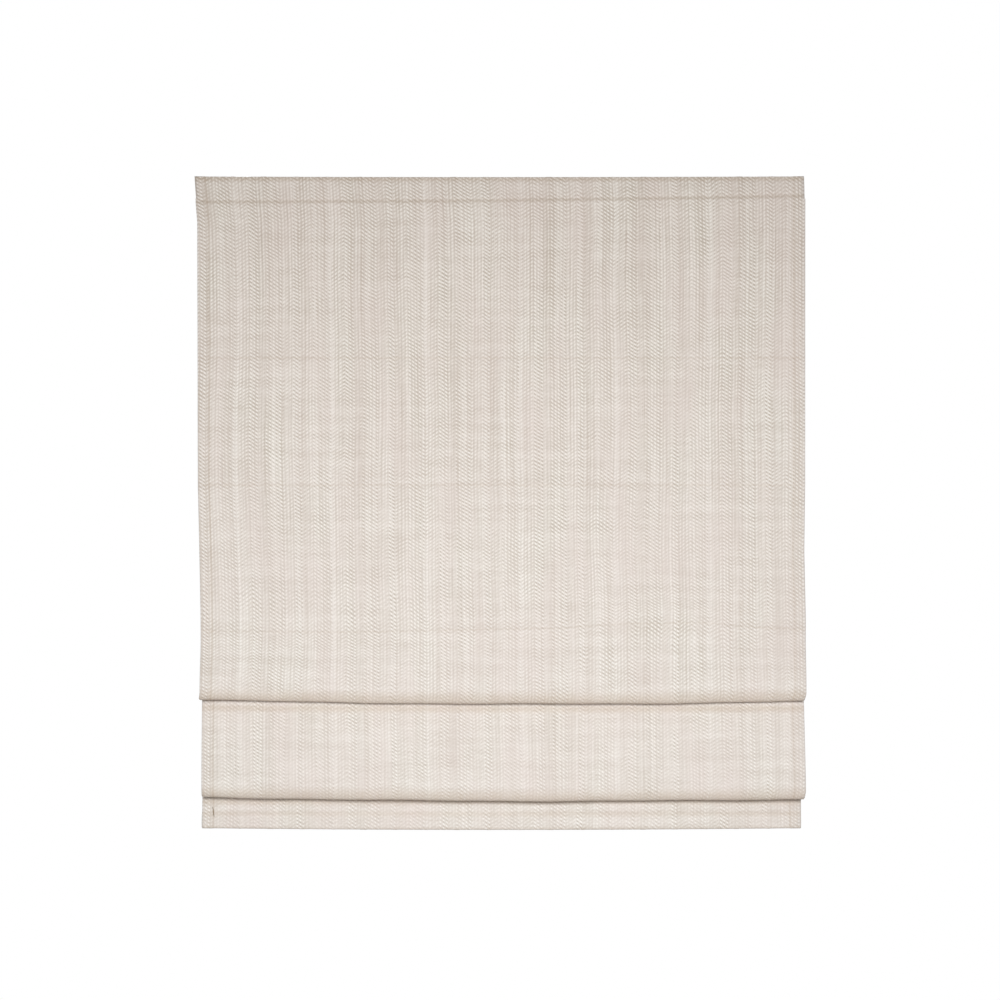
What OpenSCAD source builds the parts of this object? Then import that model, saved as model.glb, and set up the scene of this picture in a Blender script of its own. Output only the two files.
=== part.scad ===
// Roman blind hung part way up: one folded woven panel on a ceiling-fixed headrail with a spring lift.
// X runs along the blind, -Y faces the room and +Z is up.
// The origin is the middle of the bracket screws, on the plane that the brackets are screwed up against.

/* [Cloth] */
// Finished width of the cloth
cloth_w = 900; // [800:10:1200]
// Thickness of the woven cloth
cloth_t = 1; // [0.8:0.1:1.2]
// Gap between the ceiling plane and the top of the cloth
top_gap = 0.5; // [0.5:0.5:4]
// Depth of the header, which is turned to the back
header_h = 33; // [30:1:45]
// Width of the hem down each side, which is turned to the back
side_hem = 16; // [10:1:24]
// Air between the two layers of the turned header
layer_gap = 0.2; // [0.1:0.05:0.4]
// How far the cloth stands proud beside a line of stitches
sewn_rise = 0.6; // [0.3:0.1:0.8]
// From a line of stitches to where the cloth stands most proud
sewn_near = 5; // [4:0.5:6]
// From a line of stitches to where the cloth is flat again
sewn_reach = 20; // [16:1:24]
// Width of one repeat of the woven stripe
weave_repeat = 140; // [120:1:180]
// Place of one bright stripe, from the middle of the cloth
weave_start = 27; // [0:1:60]
// Height of the raised stripes on the face
stripe_h = 0.25; // [0.15:0.05:0.4]

/* [Folds] */
// From the top of the cloth down to the first rib
first_rib_drop = 270; // [240:1:300]
// From the first rib down to the second
second_rib_gap = 189; // [150:1:220]
// From the second rib down to the third
third_rib_gap = 213; // [170:1:240]
// From the third rib down to the lip of the upper fold
upper_fold_hang = 111; // [95:1:130]
// From the lip of the upper fold up to the fourth rib
upper_fold_rise = 54; // [40:1:70]
// Cloth that shows between the two lips
panel_show = 145; // [120:1:170]
// From the lip of the lower fold up to the fifth rib
lower_fold_rise = 45; // [35:1:55]
// Hem that shows below the lower fold
hem_show = 43; // [36:1:60]
// How far a lip hangs forward of the flat cloth
lip_forward = 20; // [18:0.5:26]
// Radius of a lip, at the middle of the cloth
lip_r = 7; // [5:0.5:8]
// Radius of the turn over a fold's top, at the middle of the cloth
crest_r = 2; // [1.8:0.1:2.5]
// Height of the pocket at the foot of the cloth
hem_h = 28; // [26:1:34]

/* [Headrail] */
// Depth of the headrail, front to back
rail_d = 36; // [36:1:44]
// Height of the headrail
rail_h = 30; // [30:1:34]
// Wall of the headrail
rail_t = 1.2; // [0.8:0.1:1.4]
// Width of the inturned lips
rail_lip = 7; // [5:0.5:8]
// How far the cloth stands past each end of the headrail
rail_inset = 2; // [1:0.5:6]
// Outer radius of the headrail's bends
rail_bend = 2; // [1.6:0.1:2.5]
// Thickness of the hook tape, and of the loop tape
fastener_t = 1.2; // [0.8:0.1:1.6]
// Height of the hook tape and the loop tape
fastener_h = 24; // [18:1:25]
// Thickness of an end cap's plate
cap_t = 2; // [1.5:0.1:3]
// Length of an end cap's plug
cap_plug = 14; // [8:1:20]

/* [Brackets] */
// From the end of the cloth to a bracket's screws
bracket_inset = 50; // [45:1:70]
// Distance between a bracket's two screws, front to back
screw_gap = 13; // [10:0.5:16]
// Diameter of a screw hole
screw_d = 4.5; // [3.5:0.1:5]
// Thickness of the bracket plate
plate_t = 1.5; // [1.2:0.1:2]
// Length of the bracket plate
plate_w = 46; // [42:1:56]
// Depth of the bracket plate
plate_d = 34; // [30:1:36]
// From a bracket's screws to its swivel
swivel_offset = 22; // [20:0.5:26]
// Diameter of the swivel rivet
rivet_d = 4; // [3:0.1:5]
// Reach of the swivel under each lip of the headrail
swivel_reach = 14.5; // [13.5:0.1:15]
// Width of the swivel across its flats
swivel_w = 18; // [14:0.5:19]
// Length of the swivel's lever from its rivet
lever_l = 30; // [27:1:36]
// Gap between the ceiling bracket and the headrail's lips
lever_gap = 1.5; // [1.4:0.1:2]

/* [Lift] */
// From the end of the cloth to the outer lift tapes
tape_inset = 120; // [115:1:160]
// Width of a lift tape
tape_w = 10; // [8:0.5:11]
// Thickness of a lift tape
tape_t = 0.2; // [0.15:0.05:0.3]
// Outer radius of the tape that is wound on a spool
wound_r = 7.5; // [7.4:0.1:8.5]
// Diameter of the lift shaft
shaft_d = 6; // [5:0.1:6.4]
// Radius of a spool's core
spool_core_r = 6; // [5.5:0.1:6.3]
// Radius of a spool's flanges
spool_flange_r = 10.3; // [9.5:0.1:10.4]
// Thickness of a spool's flange
flange_t = 1.2; // [0.8:0.1:1.6]
// Radius of the journals that turn in the cradles and the motor case
journal_r = 5; // [4.5:0.1:5.4]
// Length of a spool's journal
journal_l = 4; // [3.5:0.1:5]
// Wall of a cradle
cradle_t = 2.5; // [2:0.1:3]
// From an outer lift tape to the end of the lift shaft
shaft_end = 30; // [20:1:35]
// Width of the power spring
spring_w = 22; // [16:1:26]
// Wall of the motor case
motor_wall = 2; // [1.6:0.1:2.5]
// Distance between the motor's two drums
drum_gap = 14.2; // [14:0.1:14.5]

/* [Ribs] */
// Diameter of a rib's rod
rod_d = 4; // [3:0.1:4.5]
// Wall of the sewn pocket
pocket_t = 0.8; // [0.6:0.1:1]
// Height of the pocket's sewn strip
pocket_strip = 10; // [9:0.5:12]
// From the side hem to the end of a rib's tip
tip_inset = 2; // [1:0.5:5]
// Length of a rib's tip
tip_l = 9; // [7:0.5:12]
// Width of a tape guide
guide_w = 16; // [15:0.5:20]
// Height of a tape guide
guide_h = 8; // [6:0.5:9]

/* [Bottom bar] */
// Height of the bottom bar
bar_h = 20; // [16:0.5:20]
// Thickness of the bottom bar
bar_t = 3; // [2.5:0.1:4]
// From the end of the cloth to the end of the bottom bar's cap
bar_inset = 6; // [2:0.5:12]
// Length of the bottom bar's end caps
bar_cap = 8; // [5:0.5:12]
// Height of a tape anchor
anchor_h = 10; // [9:0.5:12]
// Diameter of a tape anchor's stem
anchor_stem_d = 3; // [2.5:0.1:4]

/* [Clearances] */
// Between a turning journal and its bore, on the radius
run_fit = 0.05; // [0.03:0.01:0.1]
// Between pieces that slide together or lie beside each other
slide_fit = 0.1; // [0.05:0.01:0.15]
// Between a moving piece and what it passes
move_gap = 0.25; // [0.2:0.05:0.3]

/* [Hidden] */
$fn = 48;
EPS = 0.01;
BEND_STEPS = 5;
LIP_STEPS = 8;
CREST_STEPS = 6;
LEAN_STEPS = 6;

// Colours, as the cloth and such fittings have them
CLOTH = [0.86, 0.82, 0.79];
TAPE = [0.93, 0.92, 0.90];
RAIL = [0.95, 0.95, 0.94];
STEEL = [0.72, 0.73, 0.75];
PLASTIC = [0.90, 0.90, 0.89];
ROD = [0.88, 0.89, 0.84];

// Layers from the headrail's front out to the face of the cloth
layer = cloth_t + layer_gap;
rail_front = -rail_d / 2;
loop_front = rail_front - 2 * fastener_t;
cloth_y = loop_front - cloth_t / 2 - layer;
cloth_back = cloth_y + cloth_t / 2;

// Heights, from the top down
top_z = -top_gap;
rail_top = -plate_t - lever_gap;
rail_floor = rail_top - rail_h + rail_t;
rib_3_z = top_z - first_rib_drop - second_rib_gap - third_rib_gap;
upper_lip_z = rib_3_z - upper_fold_hang;
lower_lip_z = upper_lip_z - panel_show;
bottom_z = lower_lip_z - hem_show;
rib_z = [
    top_z - first_rib_drop,
    top_z - first_rib_drop - second_rib_gap,
    rib_3_z,
    upper_lip_z + upper_fold_rise,
    lower_lip_z + lower_fold_rise
];

// Ribs and lift tapes, behind the cloth
pocket_bore_r = rod_d / 2 + 2 * slide_fit;
pocket_r = pocket_bore_r + pocket_t;
rib_y = cloth_back + slide_fit + pocket_r + pocket_t / 4;
clip_t = 1.2;
guide_slot = tape_t + 1.2;
guide_wall = 1.2;
tape_y = rib_y + pocket_r + clip_t + guide_slot / 2;
tape_x = cloth_w / 2 - tape_inset;
tape_lines = [-tape_x, 0, tape_x];
tip_end = cloth_w / 2 - side_hem - tip_inset;
pocket_w = 2 * (tip_end - tip_l - slide_fit);

// Lift shaft: the tape leaves the front of the wound turns
shaft_y = tape_y + wound_r - tape_t / 2 - slide_fit / 2;
shaft_z = rail_floor + (rail_h - 2 * rail_t) / 2;
shaft_l = 2 * (tape_x + shaft_end);
spool_l = tape_w + 2.6;
motor_x = tape_x / 2;
drum_y = shaft_y + drum_gap;
drum_l = spring_w + 2;
cradle_floor = 1.5;

// Hem pocket and bottom bar
hem_r = bar_t / 2 + 3 * slide_fit + cloth_t / 2;
bar_y = cloth_y + hem_r;
bar_foot = bottom_z + cloth_t / 2 + hem_r;
bar_z = bar_foot + bar_h / 2;
hem_back = cloth_y + 2 * hem_r + cloth_t / 2;
bar_half = cloth_w / 2 - bar_inset - bar_cap;

// Cloth: points [y, z] down the middle of its thickness
pocket_clear = pocket_strip / 2 + 3;

function arc(y, z, r, from, to, steps) =
    [for (i = [0:steps]) let (a = from + (to - from) * i / steps) [y + r * cos(a), z + r * sin(a)]];

// A soft lean from one point to another, upright at both ends
function lean(y0, z0, y1, z1, steps) =
    [for (i = [0:steps]) let (t = i / steps) [y0 + (y1 - y0) * t * t * (3 - 2 * t), z0 + (z1 - z0) * t]];

// One fold: leans out below a rib, turns at the lip, goes up behind and turns over the next rib
function fold(start_z, lip_z, next_rib_z) =
    let (turn_z = lip_z + cloth_t / 2 + lip_r, crest_z = next_rib_z + pocket_clear)
    concat(
        lean(cloth_y, start_z, cloth_y - lip_forward, turn_z, LEAN_STEPS),
        arc(cloth_y - lip_forward + lip_r, turn_z, lip_r, 180 + 180 / LIP_STEPS, 360, LIP_STEPS - 1),
        arc(cloth_y - crest_r, crest_z, crest_r, 180, 0, CREST_STEPS)
    );

// A line of stitches draws the cloth in, and it stands proud above and below
function sewn_above(z) = [[cloth_y, z + sewn_reach], [cloth_y - sewn_rise, z + sewn_near]];
function sewn_below(z) = [[cloth_y, z], [cloth_y - sewn_rise, z - sewn_near], [cloth_y, z - sewn_reach]];

header_z = top_z - header_h;
header_path = concat(
    [[cloth_y + layer, header_z]],
    arc(cloth_y + layer / 2, top_z - cloth_t / 2 - layer / 2, layer / 2, 0, 180 - 180 / CREST_STEPS, CREST_STEPS - 1)
);
panel_path = concat(
    sewn_above(rib_z[0]),
    sewn_below(rib_z[0]),
    sewn_above(rib_z[1]),
    sewn_below(rib_z[1]),
    sewn_above(rib_z[2]),
    [[cloth_y, rib_z[2]]],
    fold(rib_z[2] - pocket_clear, upper_lip_z, rib_z[3]),
    fold(rib_z[3] - pocket_clear, lower_lip_z, rib_z[4])
);
face_path = concat(
    [[cloth_y, top_z - cloth_t / 2 - layer / 2]],
    sewn_above(header_z),
    sewn_below(header_z),
    panel_path,
    [[cloth_y, bar_foot]]
);
hem_path = concat(
    arc(cloth_y + hem_r, bar_foot, hem_r, 180 + 180 / LIP_STEPS, 360, LIP_STEPS - 1),
    [[cloth_y + 2 * hem_r, bar_foot + bar_h], [cloth_y + layer, bottom_z + hem_h]]
);
side_gap = 1;
side_path = concat(
    [[cloth_y - sewn_rise * side_gap / sewn_near, header_z - side_gap]],
    [for (i = [1:2]) sewn_below(header_z)[i]],
    panel_path,
    [[cloth_y, bottom_z + hem_h + side_gap]]
);

// The band between two distances from a path: positive is behind the cloth, negative is its face
function unit(v) = v / norm(v);
function heading(path, i) = unit(path[min(i + 1, len(path) - 1)] - path[max(i - 1, 0)]);
function beside(path, i, away) = path[i] + away * [-heading(path, i)[1], heading(path, i)[0]];
function band(path, near, far) = concat(
    [for (i = [0:len(path) - 1]) beside(path, i, near)],
    [for (i = [len(path) - 1:-1:0]) beside(path, i, far)]
);

// A rectangle with rounded corners, about the origin
function rounded(w, h, r) = concat(
    arc(w / 2 - r, h / 2 - r, r, 0, 90, BEND_STEPS),
    arc(r - w / 2, h / 2 - r, r, 90, 180, BEND_STEPS),
    arc(r - w / 2, r - h / 2, r, 180, 270, BEND_STEPS),
    arc(w / 2 - r, r - h / 2, r, 270, 360, BEND_STEPS)
);

// Raised stripes of the weave: [place in the repeat, width]
weave_stripes = [[0, 5], [46, 9], [94, 7]];

// Extrudes a [y, z] outline along X, about x = 0
module along_x(w) {
    translate([-w / 2, 0, 0])
        rotate([90, 0, 90])
            linear_extrude(w)
                children();
}

module turned_about_x() {
    rotate([0, 90, 0])
        rotate_extrude()
            children();
}

module d_section(d, grow) {
    intersection() {
        circle(d = d + 2 * grow);
        translate([-d, -d])
            square([2 * d, d + d * 0.3 + grow]);
    }
}

module both_ends() {
    children();
    mirror([1, 0, 0])
        children();
}

// Cloth
module shade_cloth() {
    bite = 0.2;
    color(CLOTH)
        difference() {
            union() {
                along_x(cloth_w)
                    polygon(band(concat(header_path, face_path, hem_path), -cloth_t / 2, cloth_t / 2));
                both_ends()
                    translate([cloth_w / 2 - side_hem / 2, 0, 0])
                        along_x(side_hem)
                            polygon(band(side_path, cloth_t / 2 - bite, cloth_t * 3 / 2));
                woven_stripes(bite);
            }
            for (x = tape_lines)
                translate([x, cloth_y + hem_r, bar_z])
                    rotate([-90, 0, 0])
                        cylinder(d = anchor_stem_d + 6 * slide_fit, h = 2 * hem_r);
        }
}

module woven_stripes(bite) {
    repeats = ceil(cloth_w / weave_repeat / 2) + 1;
    for (n = [-repeats:repeats], stripe = weave_stripes) {
        x = weave_start + n * weave_repeat + stripe[0];
        if (abs(x) < cloth_w / 2 - side_hem)
            translate([x, 0, 0])
                along_x(stripe[1])
                    polygon(band(face_path, -cloth_t / 2 - stripe_h, -cloth_t / 2 + bite));
    }
}

module loop_tape() {
    color(TAPE)
        translate([0, loop_front + fastener_t / 2, rail_top - rail_h / 2])
            cube([cloth_w - 2 * side_hem, fastener_t, fastener_h], center = true);
}

// Headrail
module hook_tape() {
    color(TAPE)
        translate([0, rail_front - fastener_t / 2, rail_top - rail_h / 2])
            cube([cloth_w - 2 * side_hem, fastener_t, fastener_h], center = true);
}

module headrail() {
    color(RAIL)
        difference() {
            along_x(cloth_w - 2 * rail_inset - 2 * cap_t)
                translate([0, rail_top - rail_h / 2])
                    difference() {
                        polygon(rounded(rail_d, rail_h, rail_bend));
                        polygon(rounded(rail_d - 2 * rail_t, rail_h - 2 * rail_t, rail_bend - rail_t));
                        translate([rail_lip - rail_d / 2, 0])
                            square([rail_d - 2 * rail_lip, rail_h]);
                    }
            for (x = tape_lines) {
                translate([x, tape_y, rail_floor])
                    cube([tape_w + 4, 4, 4 * rail_t], center = true);
                cradle_pegs(x, slide_fit);
            }
            motor_pegs(slide_fit);
        }
}

module end_cap() {
    plug_d = rail_d - 2 * rail_t - 4 * slide_fit;
    plug_h = rail_h - 2 * rail_t - 4 * slide_fit;
    plug_t = 1.6;
    color(PLASTIC)
        translate([cloth_w / 2 - rail_inset, 0, rail_top - rail_h / 2]) {
            translate([-cap_t / 2, 0, 0])
                along_x(cap_t)
                    polygon(rounded(rail_d, rail_h, rail_bend));
            translate([-cap_t - cap_plug / 2 + EPS, 0, 0])
                along_x(cap_plug)
                    difference() {
                        polygon(rounded(plug_d, plug_h, rail_bend - rail_t));
                        polygon(rounded(plug_d - 2 * plug_t, plug_h - 2 * plug_t, (rail_bend - rail_t) / 2));
                    }
        }
}

module end_cap_right() {
    end_cap();
}

module end_cap_left() {
    mirror([1, 0, 0])
        end_cap();
}

// Brackets: the screws are at bracket_x, and the swivel is nearer the middle of the blind
bracket_x = cloth_w / 2 - bracket_inset;
swivel_x = bracket_x - swivel_offset;
swivel_top = rail_top - rail_t - move_gap;
swivel_t = 1.5;
rivet_head_t = 1.2;

module bracket() {
    corner = 5;
    color(STEEL)
        difference() {
            translate([bracket_x - swivel_offset / 2, 0, -plate_t])
                linear_extrude(plate_t)
                    polygon(rounded(plate_w, plate_d, corner));
            for (side = [-1, 1])
                translate([bracket_x, side * screw_gap / 2, -2 * plate_t])
                    cylinder(d = screw_d, h = 3 * plate_t);
            translate([swivel_x, 0, -2 * plate_t])
                cylinder(d = rivet_d + slide_fit, h = 3 * plate_t);
        }
}

module bracket_right() {
    bracket();
}

module bracket_left() {
    mirror([1, 0, 0])
        bracket();
}

module swivel_rivets() {
    head_top = swivel_top - swivel_t - run_fit;
    color(STEEL)
        both_ends()
            translate([swivel_x, 0, head_top - rivet_head_t]) {
                cylinder(d = rivet_d, h = rivet_head_t - head_top - slide_fit);
                cylinder(d = 2 * rivet_d, h = rivet_head_t);
            }
}

// Turned so that its long side lies under both lips, with the lever along the headrail
module swivel() {
    boss_r = rivet_d / 2 + 2.5;
    lever_t = lever_gap - 2 * move_gap;
    lever_w = 8;
    color(PLASTIC)
        translate([swivel_x, 0, 0])
            difference() {
                union() {
                    translate([0, 0, swivel_top - swivel_t])
                        linear_extrude(swivel_t)
                            intersection() {
                                circle(r = swivel_reach);
                                square([swivel_w, 2 * swivel_reach + 1], center = true);
                            }
                    translate([0, 0, swivel_top - swivel_t / 2])
                        cylinder(r = boss_r, h = -plate_t - slide_fit - swivel_top + swivel_t / 2);
                    translate([0, 0, rail_top + move_gap])
                        linear_extrude(lever_t) {
                            translate([-lever_l, -lever_w / 2])
                                square([lever_l, lever_w]);
                            translate([-lever_l, 0])
                                circle(d = lever_w);
                        }
                }
                translate([0, 0, swivel_top - 2 * swivel_t])
                    cylinder(r = rivet_d / 2 + run_fit, h = 2 * swivel_t - swivel_top);
            }
}

module swivel_lock_right() {
    swivel();
}

module swivel_lock_left() {
    mirror([1, 0, 0])
        swivel();
}

// Lift shaft and spools
module lift_shaft() {
    color(STEEL)
        translate([0, shaft_y, shaft_z])
            along_x(shaft_l)
                d_section(shaft_d, 0);
}

// A drum on the shaft, from its journals in: half of its outline, turned about X
module drum(core_r, flange_r, core_l, neck_l) {
    half = core_l / 2 + flange_t;
    turned_about_x()
        polygon([
            [0, -half - neck_l],
            [journal_r, -half - neck_l],
            [journal_r, -half],
            [flange_r, -half],
            [flange_r, -core_l / 2],
            [core_r, -core_l / 2],
            [core_r, core_l / 2],
            [flange_r, core_l / 2],
            [flange_r, half],
            [journal_r, half],
            [journal_r, half + neck_l],
            [0, half + neck_l]
        ]);
}

module shaft_drum(x, core_r, flange_r, core_l, neck_l) {
    translate([x, shaft_y, shaft_z])
        difference() {
            drum(core_r, flange_r, core_l, neck_l);
            along_x(core_l + 2 * flange_t + 3 * neck_l)
                d_section(shaft_d, slide_fit);
        }
}

module tape_spool(x) {
    color(PLASTIC)
        shaft_drum(x, spool_core_r, spool_flange_r, spool_l, journal_l);
}

module tape_spool_left() {
    tape_spool(-tape_x);
}

module tape_spool_centre() {
    tape_spool(0);
}

module tape_spool_right() {
    tape_spool(tape_x);
}

// Cradle: two open-topped bearings on a floor with pegs that hold it in the headrail
cradle_peg_d = 4;

module cradle_pegs(x, grow) {
    for (side = [-1, 1])
        translate([x + side * (spool_l / 2 + flange_t + journal_l / 2), shaft_y + journal_r, rail_floor - rail_t])
            cylinder(d = cradle_peg_d + 2 * grow, h = rail_t + cradle_floor / 2);
}

module bearing_wall(wall, reach, bore_r) {
    mouth = 1.7 * bore_r;
    along_x(wall)
        difference() {
            translate([-reach, rail_floor - shaft_z])
                square([2 * reach, shaft_z - rail_floor + reach * 0.6]);
            circle(r = bore_r);
            translate([-mouth / 2, 0])
                square([mouth, 2 * reach]);
        }
}

module spool_cradle(x) {
    wall_x = spool_l / 2 + flange_t + journal_l / 2;
    reach = journal_r + 3.5;
    color(PLASTIC)
        difference() {
            union() {
                for (side = [-1, 1])
                    translate([x + side * wall_x, shaft_y, shaft_z])
                        bearing_wall(cradle_t, reach, journal_r + run_fit);
                translate([x - wall_x - journal_l, shaft_y - reach, rail_floor])
                    cube([2 * wall_x + 2 * journal_l, 2 * reach, cradle_floor]);
                cradle_pegs(x, 0);
            }
            translate([x, tape_y, rail_floor])
                cube([tape_w + 2, 3, 4 * cradle_floor], center = true);
        }
}

module spool_cradle_left() {
    spool_cradle(-tape_x);
}

module spool_cradle_centre() {
    spool_cradle(0);
}

module spool_cradle_right() {
    spool_cradle(tape_x);
}

// Spring motor: a power spring wound between a drum on the shaft and a storage drum behind it
output_core_r = shaft_d / 2 + 1.2;
output_flange_r = 7.4;
storage_core_r = 3.2;
storage_flange_r = 6.3;
drum_pin_d = 4;
motor_peg_d = 4;
motor_wall_x = drum_l / 2 + flange_t + move_gap + motor_wall / 2;

module motor_pegs(grow) {
    for (side = [-1, 1])
        translate([motor_x + side * (drum_l / 2 - motor_peg_d), shaft_y + drum_gap / 2, rail_floor - rail_t])
            cylinder(d = motor_peg_d + 2 * grow, h = rail_t + cradle_floor / 2);
}

module motor_case() {
    case_front = shaft_y - output_flange_r - 2;
    case_back = rail_d / 2 - rail_bend;
    case_top = shaft_z + storage_flange_r + 2;
    color(PLASTIC) {
        for (side = [-1, 1])
            translate([motor_x + side * motor_wall_x, 0, 0])
                along_x(motor_wall)
                    difference() {
                        translate([case_front, rail_floor])
                            square([case_back - case_front, case_top - rail_floor]);
                        translate([shaft_y, shaft_z])
                            circle(r = journal_r + run_fit);
                        translate([drum_y, shaft_z])
                            circle(d = drum_pin_d + slide_fit);
                    }
        translate([motor_x - motor_wall_x - motor_wall / 2, case_front, rail_floor])
            cube([2 * motor_wall_x + motor_wall, case_back - case_front, cradle_floor]);
        motor_pegs(0);
    }
}

module output_drum() {
    color(PLASTIC)
        shaft_drum(motor_x, output_core_r, output_flange_r, drum_l, motor_wall + 2 * move_gap);
}

module drum_pin() {
    color(STEEL)
        translate([motor_x, drum_y, shaft_z])
            along_x(2 * motor_wall_x + motor_wall)
                circle(d = drum_pin_d);
}

module storage_drum() {
    half = drum_l / 2 + flange_t;
    bore_r = drum_pin_d / 2 + run_fit;
    color(PLASTIC)
        translate([motor_x, drum_y, shaft_z])
            turned_about_x()
                polygon([
                    [bore_r, -half],
                    [storage_flange_r, -half],
                    [storage_flange_r, -drum_l / 2],
                    [storage_core_r, -drum_l / 2],
                    [storage_core_r, drum_l / 2],
                    [storage_flange_r, drum_l / 2],
                    [storage_flange_r, half],
                    [bore_r, half]
                ]);
}

// The band runs from the top of one coil to the top of the other
module power_spring() {
    output_coil_r = output_core_r + 2;
    storage_coil_r = storage_core_r + 2.2;
    band_t = 0.4;
    color(STEEL)
        translate([motor_x, 0, 0]) {
            spring_coil(shaft_y, output_core_r + move_gap, output_coil_r);
            spring_coil(drum_y, storage_core_r + move_gap, storage_coil_r);
            along_x(spring_w)
                polygon([
                    [shaft_y, shaft_z + output_coil_r - slide_fit],
                    [drum_y, shaft_z + storage_coil_r - slide_fit],
                    [drum_y, shaft_z + storage_coil_r - slide_fit - band_t],
                    [shaft_y, shaft_z + output_coil_r - slide_fit - band_t]
                ]);
        }
}

module spring_coil(y, inner_r, outer_r) {
    along_x(spring_w)
        translate([y, shaft_z])
            difference() {
                circle(r = outer_r);
                circle(r = inner_r);
            }
}

// Lift tapes: the turns on a spool and the run down to an anchor
module lift_tape(x) {
    tape_foot = bar_z - anchor_h / 2 + 3;
    color(TAPE)
        translate([x, 0, 0])
            along_x(tape_w) {
                translate([shaft_y, shaft_z])
                    difference() {
                        circle(r = wound_r);
                        circle(r = spool_core_r + move_gap);
                    }
                translate([tape_y - tape_t / 2, tape_foot])
                    square([tape_t, shaft_z - tape_foot]);
            }
}

module lift_tape_left() {
    lift_tape(-tape_x);
}

module lift_tape_centre() {
    lift_tape(0);
}

module lift_tape_right() {
    lift_tape(tape_x);
}

// Ribs: a rod in a sewn pocket, with soft tips and clip-on tape guides
module rib_rod(i) {
    color(ROD)
        translate([0, rib_y, rib_z[i]])
            along_x(2 * tip_end - 4)
                circle(d = rod_d);
}

module rib_pocket(i) {
    color(TAPE)
        translate([0, rib_y, rib_z[i]])
            along_x(pocket_w)
                difference() {
                    union() {
                        circle(r = pocket_r);
                        translate([cloth_back + slide_fit - rib_y, -pocket_strip / 2])
                            square([pocket_t, pocket_strip]);
                    }
                    circle(r = pocket_bore_r);
                }
}

module rib_tips(i) {
    tip_r = pocket_r - move_gap;
    bore_l = tip_l - 2;
    color(PLASTIC)
        both_ends()
            translate([tip_end, rib_y, rib_z[i]])
                turned_about_x()
                    polygon([
                        [0, -2],
                        [rod_d / 2 + run_fit, -2],
                        [rod_d / 2 + run_fit, -2 - bore_l],
                        [tip_r, -2 - bore_l],
                        [tip_r, -1],
                        [tip_r - 1, 0],
                        [0, 0]
                    ]);
}

module rib_guides(i) {
    clip_r = pocket_r + run_fit;
    color(PLASTIC)
        for (x = tape_lines)
            translate([x, rib_y, rib_z[i]])
                difference() {
                    along_x(guide_w)
                        difference() {
                            union() {
                                circle(r = clip_r + clip_t);
                                translate([0, -guide_h / 2])
                                    square([tape_y - rib_y + guide_slot / 2 + guide_wall, guide_h]);
                            }
                            circle(r = clip_r);
                            translate([-2 * clip_r - 1, -2 * clip_r])
                                square([2 * clip_r, 4 * clip_r]);
                        }
                    translate([0, tape_y - rib_y, 0])
                        cube([tape_w + 2, guide_slot, 2 * guide_h], center = true);
                }
}

// Bottom bar, in the hem pocket
module bottom_bar() {
    color(RAIL)
        difference() {
            translate([-bar_half, bar_y - bar_t / 2, bar_foot])
                cube([2 * bar_half, bar_t, bar_h]);
            both_ends()
                bar_tongue(slide_fit);
            for (x = tape_lines)
                translate([x, bar_y, bar_z])
                    rotate([-90, 0, 0])
                        cylinder(d = anchor_stem_d + 2 * run_fit, h = bar_t);
        }
}

module bar_tongue(grow) {
    tongue_h = bar_h * 0.6 + 2 * grow;
    tongue_t = bar_t / 3 + 2 * grow;
    translate([bar_half - bar_cap - grow, bar_y - tongue_t / 2, bar_z - tongue_h / 2])
        cube([bar_cap + 1 + grow, tongue_t, tongue_h]);
}

module bar_end_caps() {
    color(PLASTIC)
        both_ends() {
            translate([bar_half, bar_y - bar_t / 2, bar_foot])
                cube([bar_cap, bar_t, bar_h]);
            bar_tongue(0);
        }
}

module tape_anchors() {
    front = hem_back + slide_fit;
    back = tape_y + tape_t / 2 + slide_fit + guide_wall;
    slot_foot = bar_z - anchor_h / 2 + 2;
    color(PLASTIC)
        for (x = tape_lines)
            translate([x, 0, 0]) {
                difference() {
                    translate([-guide_w / 2, front, bar_z - anchor_h / 2])
                        cube([guide_w, back - front, anchor_h]);
                    translate([-tape_w / 2 - slide_fit, tape_y - tape_t / 2 - slide_fit, slot_foot])
                        cube([tape_w + 2 * slide_fit, tape_t + 2 * slide_fit, anchor_h]);
                }
                translate([0, bar_y + slide_fit, bar_z])
                    rotate([-90, 0, 0])
                        cylinder(d = anchor_stem_d, h = front - bar_y);
            }
}

shade_cloth();
loop_tape();
hook_tape();
headrail();
end_cap_left();
end_cap_right();
bracket_left();
bracket_right();
swivel_rivets();
swivel_lock_left();
swivel_lock_right();
lift_shaft();
tape_spool_left();
tape_spool_centre();
tape_spool_right();
spool_cradle_left();
spool_cradle_centre();
spool_cradle_right();
motor_case();
output_drum();
drum_pin();
storage_drum();
power_spring();
lift_tape_left();
lift_tape_centre();
lift_tape_right();
rib_rod(0);  // rib_1_rod
rib_pocket(0);  // rib_1_pocket
rib_tips(0);  // rib_1_tips
rib_guides(0);  // rib_1_guides
rib_rod(1);  // rib_2_rod
rib_pocket(1);  // rib_2_pocket
rib_tips(1);  // rib_2_tips
rib_guides(1);  // rib_2_guides
rib_rod(2);  // rib_3_rod
rib_pocket(2);  // rib_3_pocket
rib_tips(2);  // rib_3_tips
rib_guides(2);  // rib_3_guides
rib_rod(3);  // rib_4_rod
rib_pocket(3);  // rib_4_pocket
rib_tips(3);  // rib_4_tips
rib_guides(3);  // rib_4_guides
rib_rod(4);  // rib_5_rod
rib_pocket(4);  // rib_5_pocket
rib_tips(4);  // rib_5_tips
rib_guides(4);  // rib_5_guides
bottom_bar();
bar_end_caps();
tape_anchors();
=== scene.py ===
import math

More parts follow.
